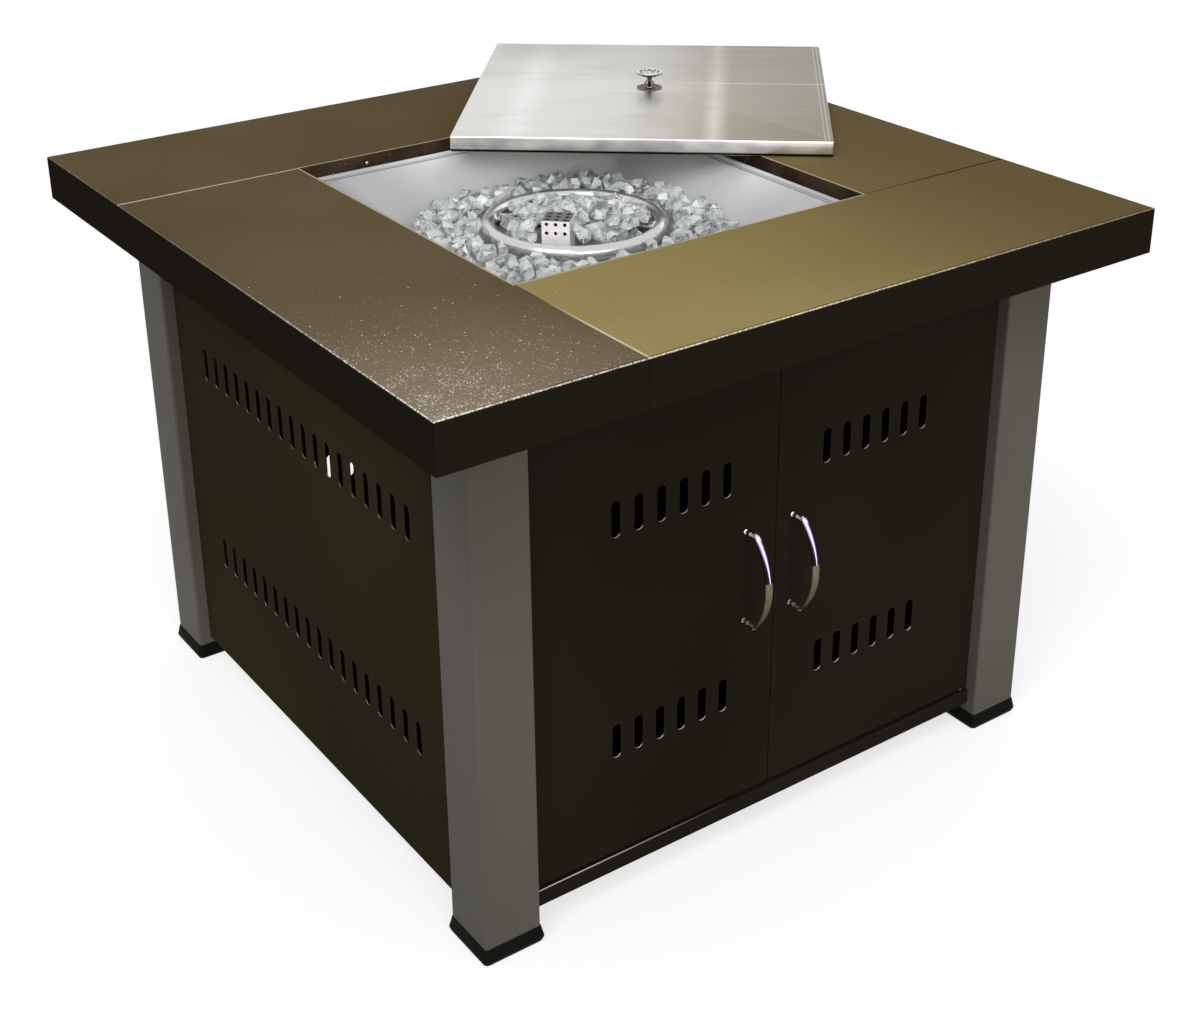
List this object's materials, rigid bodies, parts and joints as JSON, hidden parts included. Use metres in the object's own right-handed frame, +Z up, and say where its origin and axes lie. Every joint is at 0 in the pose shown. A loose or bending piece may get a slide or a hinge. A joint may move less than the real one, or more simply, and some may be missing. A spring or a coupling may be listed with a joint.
{
  "type": "fire pit table",
  "caption": "Square gas fire pit table with a vented two-door cabinet base, a stainless burner tray with fire glass and a loose square lid with a knob.",
  "frame": {"origin": "on the floor, under the centre of the table, midway between the four feet", "axes": "+Z up; -Y is the front with the two doors; +X to the right along the front, seen from in front"},
  "size_m": [1.1076, 1.0506, 0.7473],
  "materials": {
    "top_coat": "satin",
    "cabinet_coat": "satin",
    "leg_coat": "satin",
    "foot_plastic": "matte",
    "stainless": "brushed",
    "chrome_trim": "polished",
    "zinc_steel": "satin",
    "fire_glass": "gloss",
    "brass": "satin",
    "tube_aluminium": "satin",
    "black_plastic": "matte",
    "lead_rubber": "matte"
  },
  "bodies": {
    "root": {"air_mixer": "brass", "back_panel": "cabinet_coat", "base_shelf": "cabinet_coat", "burner_lock_nut": "zinc_steel", "burner_ring": "stainless", "burner_tray": "stainless", "control_bracket": "zinc_steel", "fire_glass": "fire_glass", "foot_back_left": "foot_plastic", "foot_back_right": "foot_plastic", "foot_front_left": "foot_plastic", "foot_front_right": "foot_plastic", "gas_tube": "tube_aluminium", "gas_valve": "brass", "hinge_pins": "zinc_steel", "igniter_cover": "stainless", "igniter_nut": "black_plastic", "ignition_electrode": "stainless", "ignition_lead": "lead_rubber", "inlet_fitting": "brass", "left_panel": "cabinet_coat", "leg_back_left": "leg_coat", "leg_back_right": "leg_coat", "leg_front_left": "leg_coat", "leg_front_right": "leg_coat", "magnetic_catches": "black_plastic", "panel_screws": "zinc_steel", "piezo_igniter": "black_plastic", "rail_screws": "zinc_steel", "right_panel": "cabinet_coat", "thermocouple": "stainless", "thermocouple_lead": "brass", "top_nuts": "zinc_steel", "top_panel_back": "top_coat", "top_panel_front": "top_coat", "top_panel_left": "top_coat", "top_panel_right": "top_coat", "tray_ledge_frame": "zinc_steel", "tube_nuts": "brass", "upper_rail_back": "cabinet_coat", "upper_rail_front": "cabinet_coat", "upper_rail_left": "cabinet_coat", "upper_rail_right": "cabinet_coat", "valve_nut": "zinc_steel"},
    "left_door": {"left_door": "cabinet_coat", "left_handle": "chrome_trim", "left_handle_screws": "zinc_steel", "left_strike_plate": "zinc_steel"},
    "right_door": {"right_door": "cabinet_coat", "right_handle": "chrome_trim", "right_handle_screws": "zinc_steel", "right_strike_plate": "zinc_steel"},
    "lid": {"lid": "stainless", "lid_knob": "chrome_trim", "knob_plate": "chrome_trim", "knob_screw": "zinc_steel"},
    "valve_stem": {"valve_stem": "zinc_steel"},
    "control_knob": {"control_knob": "black_plastic"},
    "ignition_button": {"ignition_button": "black_plastic"}
  },
  "joints": [
    {"name": "left_door_hinge", "type": "hinge", "parent": "root", "child": "left_door", "pos_m": [-0.3264, -0.3865, 0.35], "axis": [0, 0, -1], "range_deg": [0, 95]},
    {"name": "right_door_hinge", "type": "hinge", "parent": "root", "child": "right_door", "pos_m": [0.3264, -0.3865, 0.35], "axis": [0, 0, 1], "range_deg": [0, 95]},
    {"name": "lid_lift", "type": "slide", "parent": "root", "child": "lid", "axis": [0, 0, 1], "range_m": [0, 0.25]},
    {"name": "valve_push", "type": "slide", "parent": "root", "child": "valve_stem", "axis": [0, 1, 0], "range_m": [0, 0.003], "stiffness_N_per_m": 1500},
    {"name": "knob_turn", "type": "hinge", "parent": "valve_stem", "child": "control_knob", "pos_m": [-0.2, -0.345, 0.604], "axis": [0, -1, 0], "range_deg": [0, 180]},
    {"name": "button_push", "type": "slide", "parent": "root", "child": "ignition_button", "axis": [0, 1, 0], "range_m": [0, 0.005], "stiffness_N_per_m": 800}
  ]
}
